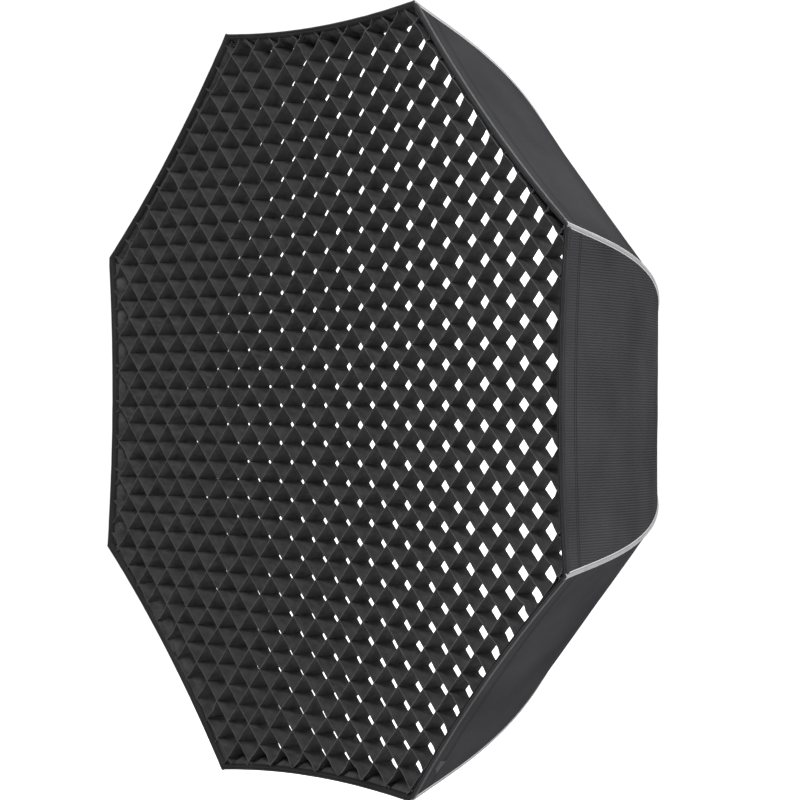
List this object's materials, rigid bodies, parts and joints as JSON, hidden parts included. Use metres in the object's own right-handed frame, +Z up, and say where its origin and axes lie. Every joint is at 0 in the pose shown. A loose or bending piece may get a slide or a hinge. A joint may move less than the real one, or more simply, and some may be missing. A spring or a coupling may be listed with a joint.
{
  "type": "octabox",
  "caption": "Folding eight-sided studio softbox with hinged curved rods, black fabric sides, an egg-crate grid, diffusers and a rectangular lamp adapter.",
  "frame": {"origin": "centre of the adapter's rear face, which seats on the lamp", "axes": "+Y along the optical axis towards the lamp, so the open front faces -Y; +Z up; +X to the right seen from the lamp's front"},
  "size_m": [1.4146, 0.616, 1.4146],
  "materials": {
    "coated_aluminium": "satin black powder coat on cast and folded aluminium",
    "steel": "turned bright steel",
    "spring_steel": "drawn spring steel rod",
    "moulded_nylon": "fine moulded grain",
    "reflective_tape": "grey retroreflective edge tape with two stitch lines",
    "black_nylon_cloth": "black ripstop nylon with a silver back",
    "grid_cloth": "black sewn nylon strips",
    "diffuser_cloth": "white translucent nylon"
  },
  "bodies": {
    "root": {"adapter_frame": "coated_aluminium", "lock_housing": "moulded_nylon", "hinge_pin_1": "steel", "hinge_pin_2": "steel", "hinge_pin_3": "steel", "hinge_pin_4": "steel", "hinge_pin_5": "steel", "hinge_pin_6": "steel", "hinge_pin_7": "steel", "hinge_pin_8": "steel", "gore_1": "black_nylon_cloth", "gore_2": "black_nylon_cloth", "gore_3": "black_nylon_cloth", "gore_4": "black_nylon_cloth", "gore_5": "black_nylon_cloth", "gore_6": "black_nylon_cloth", "gore_7": "black_nylon_cloth", "gore_8": "black_nylon_cloth", "front_rim": "black_nylon_cloth", "rear_band": "black_nylon_cloth", "grid": "grid_cloth", "front_diffuser": "diffuser_cloth", "inner_baffle": "diffuser_cloth"},
    "rod_arm_1": {"rod_socket_1": "coated_aluminium", "rod_1": "spring_steel", "rod_tip_1": "moulded_nylon", "edge_tape_1": "reflective_tape"},
    "rod_arm_2": {"rod_socket_2": "coated_aluminium", "rod_2": "spring_steel", "rod_tip_2": "moulded_nylon", "edge_tape_2": "reflective_tape"},
    "rod_arm_3": {"rod_socket_3": "coated_aluminium", "rod_3": "spring_steel", "rod_tip_3": "moulded_nylon", "edge_tape_3": "reflective_tape"},
    "rod_arm_4": {"rod_socket_4": "coated_aluminium", "rod_4": "spring_steel", "rod_tip_4": "moulded_nylon", "edge_tape_4": "reflective_tape"},
    "rod_arm_5": {"rod_socket_5": "coated_aluminium", "rod_5": "spring_steel", "rod_tip_5": "moulded_nylon", "edge_tape_5": "reflective_tape"},
    "rod_arm_6": {"rod_socket_6": "coated_aluminium", "rod_6": "spring_steel", "rod_tip_6": "moulded_nylon", "edge_tape_6": "reflective_tape"},
    "rod_arm_7": {"rod_socket_7": "coated_aluminium", "rod_7": "spring_steel", "rod_tip_7": "moulded_nylon", "edge_tape_7": "reflective_tape"},
    "rod_arm_8": {"rod_socket_8": "coated_aluminium", "rod_8": "spring_steel", "rod_tip_8": "moulded_nylon", "edge_tape_8": "reflective_tape"},
    "lock_plunger": {"lock_pin": "steel", "lock_knob": "moulded_nylon"}
  },
  "joints": [
    {"name": "rod_1_fold", "type": "hinge", "parent": "root", "child": "rod_arm_1", "pos_m": [0.2245, -0.038, 0.09299], "axis": [0.3827, 0, -0.9239], "range_deg": [0, 48], "deforming": ["gore_1", "gore_2", "gore_3", "gore_4", "gore_5", "gore_6", "gore_7", "gore_8", "front_rim", "grid", "front_diffuser", "inner_baffle"]},
    {"name": "rod_2_fold", "type": "hinge", "parent": "root", "child": "rod_arm_2", "pos_m": [0.09299, -0.038, 0.2245], "axis": [0.9239, 0, -0.3827], "range_deg": [0, 48]},
    {"name": "rod_3_fold", "type": "hinge", "parent": "root", "child": "rod_arm_3", "pos_m": [-0.09299, -0.038, 0.2245], "axis": [0.9239, 0, 0.3827], "range_deg": [0, 48]},
    {"name": "rod_4_fold", "type": "hinge", "parent": "root", "child": "rod_arm_4", "pos_m": [-0.2245, -0.038, 0.09299], "axis": [0.3827, 0, 0.9239], "range_deg": [0, 48]},
    {"name": "rod_5_fold", "type": "hinge", "parent": "root", "child": "rod_arm_5", "pos_m": [-0.2245, -0.038, -0.09299], "axis": [-0.3827, 0, 0.9239], "range_deg": [0, 48]},
    {"name": "rod_6_fold", "type": "hinge", "parent": "root", "child": "rod_arm_6", "pos_m": [-0.09299, -0.038, -0.2245], "axis": [-0.9239, 0, 0.3827], "range_deg": [0, 48]},
    {"name": "rod_7_fold", "type": "hinge", "parent": "root", "child": "rod_arm_7", "pos_m": [0.09299, -0.038, -0.2245], "axis": [-0.9239, 0, -0.3827], "range_deg": [0, 48]},
    {"name": "rod_8_fold", "type": "hinge", "parent": "root", "child": "rod_arm_8", "pos_m": [0.2245, -0.038, -0.09299], "axis": [-0.3827, 0, -0.9239], "range_deg": [0, 48]},
    {"name": "lock_pull", "type": "slide", "parent": "root", "child": "lock_plunger", "axis": [0, 0, 1], "range_m": [0, 0.009], "stiffness_N_per_m": 600, "springref_m": -0.006}
  ],
  "couplings": [
    {"joint": "rod_2_fold", "follows": "rod_1_fold", "ratio": 1},
    {"joint": "rod_3_fold", "follows": "rod_1_fold", "ratio": 1},
    {"joint": "rod_4_fold", "follows": "rod_1_fold", "ratio": 1},
    {"joint": "rod_5_fold", "follows": "rod_1_fold", "ratio": 1},
    {"joint": "rod_6_fold", "follows": "rod_1_fold", "ratio": 1},
    {"joint": "rod_7_fold", "follows": "rod_1_fold", "ratio": 1},
    {"joint": "rod_8_fold", "follows": "rod_1_fold", "ratio": 1}
  ]
}
